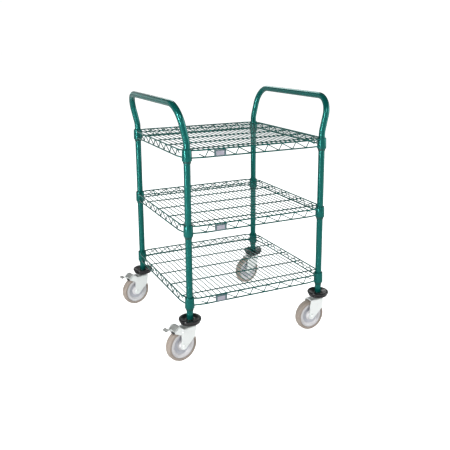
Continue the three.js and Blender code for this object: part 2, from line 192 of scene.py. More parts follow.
def ramp(tree, source, stops):
    """A 0 to 1 value turned into colours, given as (place, colour) stops."""
    node = tree.nodes.new("ShaderNodeValToRGB")
    node.color_ramp.elements[0].position = stops[0][0]
    node.color_ramp.elements[0].color = (*stops[0][1], 1)
    node.color_ramp.elements[1].position = stops[-1][0]
    node.color_ramp.elements[1].color = (*stops[-1][1], 1)
    for place, colour in stops[1:-1]:
        node.color_ramp.elements.new(place).color = (*colour, 1)
    tree.links.new(source, node.inputs["Fac"])
    return node.outputs["Color"]


def spread(tree, source, low, high):
    """A 0 to 1 value mapped to low..high."""
    node = tree.nodes.new("ShaderNodeMapRange")
    node.inputs["To Min"].default_value = low
    node.inputs["To Max"].default_value = high
    tree.links.new(source, node.inputs["Value"])
    return node.outputs["Result"]


def bump(tree, height, strength, distance):
    """Lets a 0 to 1 height roughen the surface by up to that distance."""
    node = tree.nodes.new("ShaderNodeBump")
    node.inputs["Strength"].default_value = strength
    node.inputs["Distance"].default_value = distance
    tree.links.new(height, node.inputs["Height"])
    tree.links.new(node.outputs["Normal"], shader_of(tree).inputs["Normal"])


DRIFT_DETAIL = 4.0
GRAIN_DETAIL = 2.0
DRIFT_FROM = 0.3  # the part of the noise's range over which the colours are spread
DRIFT_SPAN = 0.4


def finish(name, colours, rough, patch, grain, metallic=0.0, specular=0.5,
           grain_strength=0.15, grain_depth=0.1 * MM):
    """A finish whose colour and roughness drift over the surface, with a fine grain in its bump."""
    material = bpy.data.materials.new(name)
    material.use_nodes = True
    tree = material.node_tree
    shader = shader_of(tree)
    drift = noise(tree, patch, DRIFT_DETAIL)
    step = DRIFT_SPAN / (len(colours) - 1)
    stops = [(DRIFT_FROM + step * i, colour) for i, colour in enumerate(colours)]
    tree.links.new(ramp(tree, drift, stops), shader.inputs["Base Color"])
    tree.links.new(spread(tree, drift, *rough), shader.inputs["Roughness"])
    shader.inputs["Metallic"].default_value = metallic
    shader.inputs["Specular IOR Level"].default_value = specular
    bump(tree, noise(tree, grain, GRAIN_DETAIL), grain_strength, grain_depth)
    return material


EPOXY = finish(
    "green_epoxy", [(0.0012, 0.106, 0.093), (0.0015, 0.115, 0.101), (0.002, 0.124, 0.109)],
    rough=(0.17, 0.20), metallic=0.5, patch=8, grain=600, grain_strength=0.02, specular=0.35)
SLEEVE = finish(
    "green_plastic", [(0.001, 0.050, 0.044), (0.0015, 0.062, 0.054)],
    rough=(0.34, 0.42), patch=30, grain=1500, specular=0.3)
ZINC = finish(
    "bright_zinc", [(0.80, 0.83, 0.82), (0.87, 0.90, 0.89)],
    rough=(0.26, 0.34), metallic=0.6, patch=16, grain=900, grain_strength=0.03)
STEEL_DARK = finish(
    "oiled_steel", [(0.06, 0.063, 0.063), (0.11, 0.115, 0.115)],
    rough=(0.28, 0.42), metallic=1.0, patch=60, grain=1500)
TREAD = finish(
    "grey_tread", [(0.265, 0.222, 0.188), (0.292, 0.248, 0.214), (0.320, 0.275, 0.240)],
    rough=(0.42, 0.55), patch=30, grain=1400, grain_strength=0.15, grain_depth=0.15 * MM)
HUB = finish(
    "grey_wheel_centre", [(0.57, 0.565, 0.58), (0.62, 0.615, 0.63)],
    rough=(0.3, 0.42), patch=24, grain=1200, grain_strength=0.04)
# The web's darker, bluer grey is painted shade: the recess of the light grey wheel centre, darkened in its
# colour.
PAINTED_SHADE_WEB = finish(
    "wheel_web_painted_shade", [(0.41, 0.42, 0.465), (0.46, 0.47, 0.515)],
    rough=(0.3, 0.45), patch=32, grain=1200, grain_strength=0.04)
RUBBER = finish(
    "black_rubber", [(0.0035, 0.003, 0.004), (0.007, 0.006, 0.008)],
    rough=(0.20, 0.30), patch=30, grain=1600, grain_strength=0.08)
LABEL = finish(
    "label_plastic", [(0.060, 0.115, 0.125), (0.085, 0.150, 0.160)],
    rough=(0.3, 0.42), patch=40, grain=900, grain_strength=0.04)
CARD = finish(
    "label_card", [(0.30, 0.29, 0.35), (0.37, 0.36, 0.42)],
    rough=(0.5, 0.62), patch=60, grain=2500, grain_strength=0.04)
PAD = finish(
    "grey_pad", [(0.27, 0.28, 0.27), (0.34, 0.35, 0.34)],
    rough=(0.4, 0.52), patch=60, grain=1500)

# ---- Mesh helpers -------------------------------------------------------------------------


def ring(bm, centre, across, up, radius, sides):
    """A circle of vertices in the plane of across and up."""
    turn = 2 * math.pi / sides
    return [
        bm.verts.new(centre + radius * (math.cos(i * turn) * across + math.sin(i * turn) * up))
        for i in range(sides)
    ]


def bridge(bm, first, second):
    """Joins two closed loops of the same length with a band of faces."""
    count = len(first)
    for i in range(count):
        j = (i + 1) % count
        bm.faces.new((first[i], first[j], second[j], second[i]))


def add_tube(bm, points, radius, sides, chamfer=0.25):
    """A round bar along points, with no twist. Its ends are chamfered by a share of the radius."""
    points = [Vector(p) for p in points]
    start = (points[1] - points[0]).normalized()
    end = (points[-1] - points[-2]).normalized()
    cut = chamfer * radius
    stations = [(points[0], radius - cut), (points[0] + start * cut, radius)]
    stations += [(p, radius) for p in points[1:-1]]
    stations += [(points[-1] - end * cut, radius), (points[-1], radius - cut)]
    directions = [start, start]
    for before, here, after in zip(points, points[1:], points[2:]):
        directions.append(((here - before).normalized() + (after - here).normalized()).normalized())
    directions += [end, end]
    across = start.orthogonal().normalized()
    rings = []
    for (place, size), direction in zip(stations, directions):
        across = (across - across.dot(direction) * direction).normalized()
        rings.append(ring(bm, place, across, direction.cross(across), size, sides))
    for first, second in zip(rings, rings[1:]):
        bridge(bm, first, second)
    bm.faces.new(list(reversed(rings[0])))
    bm.faces.new(rings[-1])


def rounded(points, radius, steps=5, share=0.49):
    """A polyline with each inner corner replaced by an arc of that radius.

    An arc takes no more than that share of the straight runs next to it.
    """
    points = [Vector(p) for p in points]
    path = [points[0]]
    for before, here, after in zip(points, points[1:], points[2:]):
        back, ahead = (before - here).normalized(), (after - here).normalized()
        half_angle = back.angle(ahead) / 2
        reach = radius / math.tan(half_angle)
        reach = min(reach, share * (before - here).length, share * (after - here).length)
        bend = reach * math.tan(half_angle)
        centre = here + (back + ahead).normalized() * (bend / math.sin(half_angle))
        first, last = here + back * reach - centre, here + ahead * reach - centre
        path += [centre + first.slerp(last, i / steps) * first.length for i in range(steps + 1)]
    return path + [points[-1]]


def add_lathe(bm, profile, sides, place, start=0.0, sweep=2 * math.pi):
    """Turns a closed profile of (radius, height) about Z. Points on the axis are shared."""
    whole = sweep > 2 * math.pi - TINY
    columns = sides if whole else sides + 1
    on_axis = {}
    grid = []
    for i in range(columns):
        angle = start + sweep * i / sides
        column = []
        for k, (radius, height) in enumerate(profile):
            if radius < TINY:
                if k not in on_axis:
                    on_axis[k] = bm.verts.new(place @ Vector((0, 0, height)))
                column.append(on_axis[k])
            else:
                spot = Vector((radius * math.cos(angle), radius * math.sin(angle), height))
                column.append(bm.verts.new(place @ spot))
        grid.append(column)
    count = len(profile)
    for i in range(sides):
        near, far = grid[i], grid[(i + 1) % columns]
        for k in range(count):
            m = (k + 1) % count
            corners = []
            for vert in (near[k], far[k], far[m], near[m]):
                if vert not in corners:
                    corners.append(vert)
            if len(corners) > 2:
                bm.faces.new(corners)
    if not whole:
        bm.faces.new(grid[0])
        bm.faces.new(list(reversed(grid[-1])))


def soft_profile(points, steps=3):
    """A closed profile from (radius, height, rounding) points, each corner rounded by its own."""
    spots = [Vector((radius, height, 0)) for radius, height, _ in points]
    result = []
    for i, (radius, height, rounding) in enumerate(points):
        if rounding <= 0:
            result.append((radius, height))
            continue
        corner = [spots[i - 1], spots[i], spots[(i + 1) % len(spots)]]
        result += [(p.x, p.y) for p in rounded(corner, rounding, steps)[1:-1]]
    return result


def soft_line(points, radius, steps=4):
    """An open (x, y) polyline with its inner corners rounded."""
    return [(p.x, p.y) for p in rounded([(x, y, 0) for x, y in points], radius, steps)]


def band(points, width):
    """The outline of a strip of constant width along an (x, y) polyline."""
    line = [Vector(p) for p in points]
    sides = ([], [])
    for i, here in enumerate(line):
        before = (line[i] - line[i - 1]) if i else (line[1] - line[0])
        after = (line[i + 1] - line[i]) if i < len(line) - 1 else before
        direction = (before.normalized() + after.normalized()).normalized()
        normal = Vector((-direction.y, direction.x)) * width / 2
        sides[0].append(tuple(here - normal))
        sides[1].append(tuple(here + normal))
    return sides[0] + sides[1][::-1]


def add_prism(bm, outline, low, high, to_world):
    """A plate between low and high whose outline's points go through to_world(x, y, depth)."""
    near = [bm.verts.new(to_world(x, y, low)) for x, y in outline]
    far = [bm.verts.new(to_world(x, y, high)) for x, y in outline]
    bridge(bm, near, far)
    bm.faces.new(list(reversed(near)))
    bm.faces.new(far)


def mesh_object(bm, name, sharp_angle=SHARP_ANGLE):
    """An object in the scene, smooth but for its sharp edges."""
    bmesh.ops.recalc_face_normals(bm, faces=bm.faces[:])
    mesh = bpy.data.meshes.new(name)
    bm.to_mesh(mesh)
    bm.free()
    mesh.shade_smooth()
    mesh.set_sharp_from_angle(angle=math.radians(sharp_angle))
    piece = bpy.data.objects.new(name, mesh)
    bpy.context.scene.collection.objects.link(piece)
    return piece


def dress(piece, material, body, stands_for=None, bevel=0.0):
    """Gives a piece its material and edges, parents it to the empty of the body it rides on, and hides the
    model part it stands for.
    """
    piece.data.materials.append(material)
    if bevel:
        edge = piece.modifiers.new("edge", "BEVEL")
        edge.width = bevel
        edge.segments = 2
        edge.limit_method = "ANGLE"
        edge.angle_limit = math.radians(BEVEL_ANGLE)
        edge.harden_normals = True
    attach(piece, body)
    if stands_for:
        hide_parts(stands_for)


def add_piece(bm, name, material, body, stands_for=None, sharp_angle=SHARP_ANGLE, bevel=0.0):
    """A finished piece from a mesh that is still being built."""
    dress(mesh_object(bm, name, sharp_angle), material, body, stands_for, bevel)


def keep_common(base, other):
    """Leaves the first solid's part that lies inside the second, and removes the second."""
    change = base.modifiers.new("cut", "BOOLEAN")
    change.operation = "INTERSECT"
    change.solver = "EXACT"
    change.object = other
    bpy.context.view_layer.update()
    graph = bpy.context.evaluated_depsgraph_get()
    mesh = bpy.data.meshes.new_from_object(base.evaluated_get(graph))
    base.modifiers.clear()
    base.data = mesh
    bpy.data.objects.remove(other)
    mesh.shade_smooth()
    mesh.set_sharp_from_angle(angle=math.radians(SHARP_ANGLE))
    return base


# ---- Posts and push handles ---------------------------------------------------------------


def on_post(name):
    """A frame on the floor under a post."""
    axis = POST_AXIS[name]
    return Matrix.Translation((axis.x, axis.y, 0))


def build_post(name):
    """A tube with a shallow groove at every inch."""
    low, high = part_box(f"post_{name}")
    bore = POST_RADIUS - POST_WALL
    profile = [(bore, low.z), (POST_RADIUS - POST_EDGE, low.z), (POST_RADIUS, low.z + POST_EDGE)]
    height = low.z + FIRST_GROOVE
    while height < high.z - LAST_GROOVE:
        profile += [
            (POST_RADIUS, height - GROOVE_HALF),
            (POST_RADIUS - 0.75 * GROOVE_DEPTH, height - 0.5 * GROOVE_HALF),
            (POST_RADIUS - GROOVE_DEPTH, height),
            (POST_RADIUS - 0.75 * GROOVE_DEPTH, height + 0.5 * GROOVE_HALF),
            (POST_RADIUS, height + GROOVE_HALF),
        ]
        height += INCH
    profile += [(POST_RADIUS, high.z - POST_EDGE), (POST_RADIUS - POST_EDGE, high.z), (bore, high.z)]
    bm = bmesh.new()
    add_lathe(bm, profile, 40, on_post(name))
    add_piece(bm, f"post_{name}_tube", EPOXY, "frame", f"post_{name}")


def build_handle(side, outward):
    """A tube bent to a U that leans outwards, with a thinner plug into each post."""
    low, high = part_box(f"handle_{side}")
    axis_x = CENTRE.x + outward * HALF
    outer = high.x if outward > 0 else -low.x
    lean = outer - outward * axis_x - POST_RADIUS
    bend_height = SHELF_TOP["top"] + HANDLE_STRAIGHT
    crossbar = high.z - POST_RADIUS
    foot = POST_HIGH.z + GAP
    front_corner = (axis_x + outward * lean, -HALF, crossbar)
    rear_corner = (axis_x + outward * lean, HALF, crossbar)
    front = rounded([(axis_x, -HALF, foot), (axis_x, -HALF, bend_height), front_corner],
                    HANDLE_FOOT_BEND, 8)[:-1]
    rear = [Vector((p.x, -p.y, p.z)) for p in reversed(front)]
    top = rounded([front[-1], front_corner, rear_corner, rear[0]],
                  HANDLE_CORNER, 14, HANDLE_CORNER_SHARE)[1:-1]
    bm = bmesh.new()
    add_tube(bm, front + top + rear, POST_RADIUS, 32, HANDLE_CHAMFER)
    radius = POST_RADIUS - PLUG_WALL
    plug = [(0, low.z), (radius - 1 * MM, low.z), (radius, low.z + 2 * MM),
            (radius, foot + PLUG_OVERLAP), (0, foot + PLUG_OVERLAP)]
    for y in (-HALF, HALF):
        add_lathe(bm, plug, 32, Matrix.Translation((axis_x, y, 0)))
    add_piece(bm, f"handle_{side}_tube", EPOXY, "frame", f"handle_{side}")


# ---- Shelves ------------------------------------------------------------------------------


def side_wires(bm, turn, top):
    """The two frame wires and the zigzag of one side, drawn for the front and turned round."""

    def placed(points):
        return [turn @ (Vector(p) + Vector((0, 0, top))) + Vector((CENTRE.x, CENTRE.y, 0))
                for p in points]

    weld = HALF - COLLAR_BORE
    for drop, bend in ((TOP_WIRE_DROP, TOP_BEND), (TOP_WIRE_DROP + TRUSS_HEIGHT, FOOT_BEND)):
        line = [
            (-weld, -HALF - FRAME_TUCK, -drop),
            (-weld + bend, -HALF - FRAME_OFFSET, -drop),
            (weld - bend, -HALF - FRAME_OFFSET, -drop),
            (weld, -HALF - FRAME_TUCK, -drop),
        ]
        add_tube(bm, rounded(placed(line), FRAME_BEND, 4), FRAME_WIRE, 14)

    inner = -HALF - FRAME_OFFSET + FRAME_WIRE + TRUSS_WIRE - TRUSS_SINK
    high, low = -TOP_WIRE_DROP - TRUSS_TOP_DROP, -TOP_WIRE_DROP - TRUSS_HEIGHT
    outermost = ((TRUSS_STEEP_LEGS - 1) * TRUSS_PITCH + TRUSS_STEEP_RUN) / 2
    end = outermost + (TRUSS_PITCH - TRUSS_STEEP_RUN) / 2
    zigzag = [(-end, inner, (low + high) / 2)]
    for i in range(TRUSS_STEEP_LEGS):
        foot = -outermost + i * TRUSS_PITCH
        zigzag += [(foot, inner, low), (foot + TRUSS_STEEP_RUN, inner, high)]
    zigzag.append((end, inner, (low + high) / 2))
    add_tube(bm, rounded(placed(zigzag), TRUSS_BEND, 5), TRUSS_WIRE, 10)


def build_shelf(name):
    """The frame wires with their zigzags, the mat on its supports, and the four corner collars."""
    top = SHELF_TOP[name]
    bm = bmesh.new()
    for quarter in range(4):
        side_wires(bm, Matrix.Rotation(quarter * math.pi / 2, 4, "Z"), top)
    mat = top - TOP_WIRE_DROP + FRAME_WIRE - MAT_WIRE - WELD_SINK
    reach = HALF + FRAME_OFFSET - MAT_END
    side_reach = (SUPPORT_COUNT - 1) / 2 * SUPPORT_PITCH + SUPPORT_WIRE
    for i in range(MAT_COUNT):
        x = CENTRE.x + (i - (MAT_COUNT - 1) / 2) * MAT_PITCH
        at_side = i in (0, MAT_COUNT - 1)
        y = side_reach if at_side else reach
        add_tube(bm, [(x, -y, mat), (x, y, mat)], MAT_WIRE, 10)
    support = mat - MAT_WIRE - SUPPORT_WIRE + WELD_SINK
    for i in range(SUPPORT_COUNT):
        y = (i - (SUPPORT_COUNT - 1) / 2) * SUPPORT_PITCH
        ends = [(CENTRE.x - reach, y, support), (CENTRE.x + reach, y, support)]
        add_tube(bm, ends, SUPPORT_WIRE, 12)
    collar = soft_profile([
        (COLLAR_BORE, top - COLLAR_HEIGHT, 0.3 * MM),
        (COLLAR_FOOT, top - COLLAR_HEIGHT, 0.8 * MM),
        (COLLAR_HEAD, top, 0.8 * MM),
        (COLLAR_BORE, top, 0.3 * MM),
    ])
    for corner in CORNERS:
        add_lathe(bm, collar, 40, on_post(corner))
    add_piece(bm, f"shelf_{name}_wires", EPOXY, "frame", f"shelf_{name}")


def build_sleeve(shelf, corner):
    """Two half shells with a slit between them, proud of the collar's lower edge."""
    node = f"sleeve_{shelf}_{corner}"
    low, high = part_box(node)
    inner, outer = POST_RADIUS + GAP, COLLAR_BORE - 0.4 * MM
    collar_foot = SHELF_TOP[shelf] - COLLAR_HEIGHT
    profile = soft_profile([
        (inner, low.z, 0.2 * MM),
        (outer - 0.9 * MM, low.z, 0.5 * MM),
        (outer - 0.2 * MM, low.z + 3 * MM, 0.5 * MM),
        (outer - 0.2 * MM, collar_foot - 1 * MM, 0.5 * MM),
        (outer - 0.6 * MM, high.z, 0.4 * MM),
        (inner, high.z, 0.2 * MM),
    ], 2)
    bm = bmesh.new()
    for start in (0, math.pi):
        add_lathe(bm, profile, 20, on_post(corner), start + SLEEVE_SLIT, math.pi - 2 * SLEEVE_SLIT)
    add_piece(bm, f"{node}_halves", SLEEVE, "frame", node)


def build_label_holder(shelf):
    """A plate with a lip bent back along its upper edge, and a blank card on its front."""
    node = f"label_holder_{shelf}"
    low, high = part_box(node)
    front = low.y + GAP + LABEL_SHEET / 2
    lip = high.z - LABEL_SHEET / 2
    section = soft_line([(front, low.z), (front, lip), (high.y, lip)], 2 * MM)
    bm = bmesh.new()
    add_prism(bm, band(section, LABEL_SHEET), low.x, high.x, lambda y, z, x: Vector((x, y, z)))
    add_piece(bm, f"{node}_plate", LABEL, "frame", node, bevel=0.3 * MM)
    left, right = low.x + CARD_SIDE, high.x - CARD_SIDE
    foot, head = low.z + CARD_EDGE, high.z - CARD_EDGE
    card = [(left, foot), (right, foot), (right, head), (left, head)]
    bm = bmesh.new()
    add_prism(bm, card, low.y, low.y + CARD_DEPTH, lambda x, z, y: Vector((x, y, z)))
    add_piece(bm, f"{node}_card", CARD, "frame", bevel=0.1 * MM)


# ---- Casters ------------------------------------------------------------------------------


def caster_place(name):
    """Takes a caster's own frame, which trails to -X from the swivel axis, to the cart's."""
    axis = WHEEL_SPIN[name]["axis"]
    angle = math.atan2(-axis[0], axis[1])
    post = POST_AXIS[name]
    return Matrix.Translation((post.x, post.y, 0)) @ Matrix.Rotation(angle, 4, "Z")


def along_cheek(place):
    """Maps a cheek's point of (reach behind the swivel axis, height) and a sideways distance."""
    return lambda reach, height, side: place @ Vector((-reach, side, height))


def across_cheeks(place, reach, height):
    """A frame at that reach and height, whose Z runs sideways through the cheeks."""
    return place @ Matrix.Translation((-reach, 0, height)) @ Matrix.Rotation(math.pi / 2, 4, "X")


def wheel_axis(name):
    """A frame in the middle of a wheel, with Z along its axle towards the front."""
    return across_cheeks(caster_place(name), TRAIL, WHEEL_RADIUS)


def build_bumper(name):
    """A stepped rubber ring with a groove round it and a deep dish round the post."""
    low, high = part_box(f"bumper_{name}")
    radius = (high.x - low.x) / 2
    floor, top = low.z, high.z
    hole = POST_RADIUS + 0.4 * MM
    ledge = POST_LOW.z - GAP
    profile = soft_profile([
        (STEM_BORE, floor, 0.3 * MM),
        (radius - 5 * MM, floor, 1.2 * MM),
        (radius - 3.8 * MM, floor + 6.2 * MM, 1.0 * MM),
        (radius - 7 * MM, floor + 6.8 * MM, 0.5 * MM),
        (radius - 7 * MM, floor + 8 * MM, 0.5 * MM),
        (radius - 0.2 * MM, floor + 8.8 * MM, 1.6 * MM),
        (radius, floor + 16 * MM, 2.2 * MM),
        (radius - 3.5 * MM, top, 2.4 * MM),
        (radius - 8.5 * MM, top - 0.8 * MM, 3 * MM),
        (hole + 7 * MM, floor + 11.5 * MM, 4 * MM),
        (hole + 3.4 * MM, floor + 11.5 * MM, 0.6 * MM),
        (hole + 3 * MM, floor + 14 * MM, 0.8 * MM),
        (hole, floor + 14 * MM, 0.5 * MM),
        (hole, ledge, 0),
        (STEM_BORE, ledge, 0),
    ], 4)
    bm = bmesh.new()
    add_lathe(bm, profile, 72, on_post(name))
    add_piece(bm, f"bumper_{name}_ring", RUBBER, "frame", f"bumper_{name}")


def build_stem(name):
    """The stem in the post's lower end, with the round plate over the fork."""
    low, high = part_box(f"stem_{name}")
    radius = (high.x - low.x) / 2
    plate_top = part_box(f"bumper_{name}")[0].z - 0.5 * MM
    profile = soft_profile([
        (0, low.z, 0),
        (radius, low.z, 0.5 * MM),
        (radius, plate_top, 1.6 * MM),
        (9 * MM, plate_top, 0.5 * MM),
        (9 * MM, high.z - 2 * MM, 0.5 * MM),
        (7.5 * MM, high.z, 0.5 * MM),
        (0, high.z, 0),
    ])
    bm = bmesh.new()
    add_lathe(bm, profile, 48, on_post(name))
    add_piece(bm, f"stem_{name}_plate", ZINC, "frame", f"stem_{name}")


def build_ball_race(name):
    """The race between the fork and the stem plate, with its ring of balls showing."""
    low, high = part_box(f"ball_race_{name}")
    place = caster_place(name)
    middle_height = (low.z + high.z) / 2
    profile = soft_profile([
        (12 * MM, low.z, 0.3 * MM),
        (RACE_RADIUS - 0.5 * MM, low.z, 0.6 * MM),
        (RACE_RADIUS - 2.2 * MM, middle_height, 0.8 * MM),
        (RACE_RADIUS - 0.5 * MM, high.z, 0.6 * MM),
        (12 * MM, high.z, 0.3 * MM),
    ])
    bm = bmesh.new()
    add_lathe(bm, profile, 48, place)
    ball_circle = RACE_RADIUS - 1.7 * MM
    for i in range(BALL_COUNT):
        angle = 2 * math.pi * i / BALL_COUNT
        spot = (ball_circle * math.cos(angle), ball_circle * math.sin(angle), middle_height)
        bmesh.ops.create_icosphere(bm, subdivisions=2, radius=BALL_RADIUS,
                                   matrix=place @ Matrix.Translation(spot))
    add_piece(bm, f"ball_race_{name}_ring", STEEL_DARK, f"swivel_{name}",
              f"ball_race_{name}")


def fork_cheek():
    """The cheek's outline as (reach, height), with its corners rounded."""
    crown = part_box("fork_front_left")[1].z
    arc = []
    steps = 16
    for i in range(steps + 1):
        angle = math.pi * (1.25 + 0.75 * i / steps)
        arc.append((TRAIL + FORK_TIP * math.cos(angle), WHEEL_RADIUS + FORK_TIP * math.sin(angle)))
    shoulder = soft_line([(-14 * MM, crown), (-10.5 * MM, 93 * MM), arc[0]], 14 * MM, 6)
    rear = soft_line([arc[-1], (52 * MM, 86 * MM), (51 * MM, 112 * MM), (45 * MM, crown)], 12 * MM)
    return shoulder[:-1] + arc + rear[1:]


def channel(inner, sheet, top_sheet, top, foot, bend):
    """A U-section open downwards, as (sideways, height) points, with rounded bends."""
    outer = inner + sheet
    roof = top - top_sheet
    outside = [(-outer, foot), (-outer, top), (outer, top), (outer, foot)]
    inside = [(inner, foot), (inner, roof), (-inner, roof), (-inner, foot)]
    return soft_line(outside, bend, 5) + soft_line(inside, bend - sheet, 5)


def build_fork(name):
    """A folded sheet: a U-section trimmed to the cheeks' outline."""
    place = caster_place(name)
    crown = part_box(f"fork_{name}")[1].z
    section = channel(FORK_INNER, FORK_SHEET, FORK_CROWN_SHEET, crown, 40 * MM, 6 * MM)
    bm = bmesh.new()
    add_prism(bm, section, -15 * MM, 57 * MM,
              lambda side, height, reach: place @ Vector((-reach, side, height)))
    folded = mesh_object(bm, f"fork_{name}_shell")
    bm = bmesh.new()
    add_prism(bm, fork_cheek(), -30 * MM, 30 * MM, along_cheek(place))
    fork = keep_common(folded, mesh_object(bm, "trim"))
    dress(fork, ZINC, f"swivel_{name}", f"fork_{name}", bevel=0.45 * MM)


def mirrored(side):
    """The other half of a wheel's profile."""
    return [(radius, -height, rounding) for radius, height, rounding in reversed(side)]


def build_tyre(name):
    """A rounded tyre with a fine mould line round its middle."""
    radius = WHEEL_RADIUS
    half = TYRE_HALF
    side = [
        (50 * MM, half - 1.6 * MM, 0.4 * MM),
        (52.5 * MM, half - 0.2 * MM, 1.0 * MM),
        (radius - 5.5 * MM, half, 2.5 * MM),
        (radius - 1.8 * MM, half - 3.6 * MM, 3.5 * MM),
        (radius - 0.1 * MM, half - 9 * MM, 6 * MM),
        (radius, 0.4 * MM, 0.1 * MM),
    ]
    mould_line = (radius - 0.1 * MM, 0, 0.1 * MM)
    bm = bmesh.new()
    profile = soft_profile(side + [mould_line] + mirrored(side), 4)
    add_lathe(bm, profile, 96, wheel_axis(name))
    add_piece(bm, f"tyre_{name}_tread", TREAD, f"wheel_{name}", f"tyre_{name}",
              sharp_angle=50)


def build_hub(name):
    """The wheel centre: a light rim, a recessed web with small bosses in a darker colour that is painted
    shade, and the bearing.
    """
    axle = wheel_axis(name)
    side = [
        (6 * MM, 17.5 * MM, 0.3 * MM),
        (12 * MM, 17.5 * MM, 1 * MM),
        (14.5 * MM, 9.5 * MM, 2 * MM),
        (19 * MM, 8.6 * MM, 1.5 * MM),
        (20.5 * MM, WEB_HALF, 0.8 * MM),
        (35.5 * MM, WEB_HALF, 2.5 * MM),
        (39 * MM, 12.3 * MM, 1.6 * MM),
        (RIM_RADIUS, 12.5 * MM, 0.8 * MM),
    ]
    bm = bmesh.new()
    add_lathe(bm, soft_profile(side + mirrored(side)), 80, axle)
    add_piece(bm, f"hub_{name}_centre", HUB, f"wheel_{name}", f"hub_{name}")
    bm = bmesh.new()
    # The bosses and a thin sheet over the recess floor take the darker colour: painted shade in the
    # recess.
    for i in range(BOSS_COUNT):
        angle = 2 * math.pi * i / BOSS_COUNT
        spot = (BOSS_CIRCLE * math.cos(angle), BOSS_CIRCLE * math.sin(angle), 0)
        for sign in (-1, 1):
            boss = soft_profile([
                (0, 6 * MM * sign, 0),
                (2.8 * MM, 6 * MM * sign, 0),
                (2.4 * MM, 8.2 * MM * sign, 0.5 * MM),
                (0, 8.2 * MM * sign, 0),
            ])
            add_lathe(bm, boss, 20, axle @ Matrix.Translation(spot))
    for sign in (-1, 1):
        face = (WEB_HALF + 0.25 * MM) * sign
        inset = soft_profile([
            (21 * MM, 5 * MM * sign, 0),
            (21 * MM, face, 0.2 * MM),
            (34.5 * MM, face, 0.2 * MM),
            (34.5 * MM, 5 * MM * sign, 0),
        ])
        add_lathe(bm, inset, 80, axle)
    add_piece(bm, f"hub_{name}_web", PAINTED_SHADE_WEB, f"wheel_{name}")


def hexagon(width):
    """A hexagon of that width over its flats."""
    corner = width / math.sqrt(3)
    return [(corner * math.cos(math.pi * i / 3), corner * math.sin(math.pi * i / 3))
            for i in range(6)]


def build_axle(name):
    """The axle bolt with its hexagon head and washer on the front side, and the nut on the other."""
    axle = wheel_axis(name)
    cheek = FORK_INNER + FORK_SHEET + GAP

    def on_axle(x, y, depth):
        return axle @ Vector((x, y, depth))

    shank = soft_profile([
        (0, -cheek - 7.5 * MM, 0),
        (4.2 * MM, -cheek - 7.5 * MM, 0.5 * MM),
        (AXLE_RADIUS, -cheek - 6.5 * MM, 0.3 * MM),
        (AXLE_RADIUS, cheek + 1 * MM, 0),
        (0, cheek + 1 * MM, 0),
    ])
    washer = soft_profile([
        (0, cheek, 0),
        (WASHER_RADIUS, cheek, 0.3 * MM),
        (WASHER_RADIUS, cheek + 1.4 * MM, 0.4 * MM),
        (0, cheek + 1.4 * MM, 0),
    ])
    bm = bmesh.new()
    add_lathe(bm, shank, 32, axle)
    add_prism(bm, hexagon(HEX_WIDTH), cheek + 1.4 * MM, cheek + 5 * MM, on_axle)
    add_lathe(bm, washer, 40, axle)
    add_piece(bm, f"axle_{name}_bolt", ZINC, f"swivel_{name}", f"axle_{name}",
              bevel=0.5 * MM)

    seat = soft_profile([
        (5.4 * MM, -cheek - 1.3 * MM, 0),
        (WASHER_RADIUS, -cheek - 1.3 * MM, 0.3 * MM),
        (WASHER_RADIUS, -cheek, 0.3 * MM),
        (5.4 * MM, -cheek, 0),
    ])
    bm = bmesh.new()
    add_prism(bm, hexagon(HEX_WIDTH), -cheek - 6.3 * MM, -cheek - 1.2 * MM, on_axle)
    add_lathe(bm, seat, 40, axle)
    add_piece(bm, f"axle_nut_{name}_hex", ZINC, f"swivel_{name}", f"axle_nut_{name}",
              bevel=0.5 * MM)


def build_pedal(name, place, inner):
    """The folded channel over the fork: two cheeks, a sloping roof with a grip, and the rivets."""
    body = f"brake_{name}"
    outer = inner + PEDAL_SHEET
    # The outline ends where it starts, and the repeated point is dropped.
    cheek = soft_line([
        (45 * MM, 112 * MM), (50 * MM, 110.5 * MM), (66 * MM, 117 * MM), (80 * MM, 124 * MM),
        (82 * MM, 129 * MM), (66 * MM, 143.2 * MM), (57 * MM, 143.2 * MM), (38 * MM, 129 * MM),
        (38 * MM, 114 * MM), (45 * MM, 112 * MM)], 3 * MM)[:-1]
    roof = soft_line(PEDAL_ROOF, 9 * MM, 5)
    bm = bmesh.new()
    for near in (-outer, inner):
        add_prism(bm, cheek, near, near + PEDAL_SHEET, along_cheek(place))
    add_prism(bm, band(roof, PEDAL_SHEET), -outer, outer, along_cheek(place))
    pivot = across_cheeks(place, *BRAKE_PIVOT)
    for sign in (-1, 1):
        rivet = soft_profile([
            (0, outer * sign, 0),
            (4.6 * MM, outer * sign, 0),
            (4.0 * MM, (outer + 1.4 * MM) * sign, 0.6 * MM),
            (0, (outer + 1.6 * MM) * sign, 0),
        ])
        add_lathe(bm, rivet, 28, pivot)
    add_piece(bm, f"brake_pedal_{name}_channel", ZINC, body, f"brake_pedal_{name}",
              bevel=0.5 * MM)

    bm = bmesh.new()
    raised = [(x, y + GRIP_LIFT) for x, y in roof]
    half_grip = GRIP_SHARE * outer
    add_prism(bm, band(raised, GRIP_SHEET), -half_grip, half_grip, along_cheek(place))
    add_piece(bm, f"brake_pedal_{name}_grip", PAD, body, bevel=0.2 * MM)


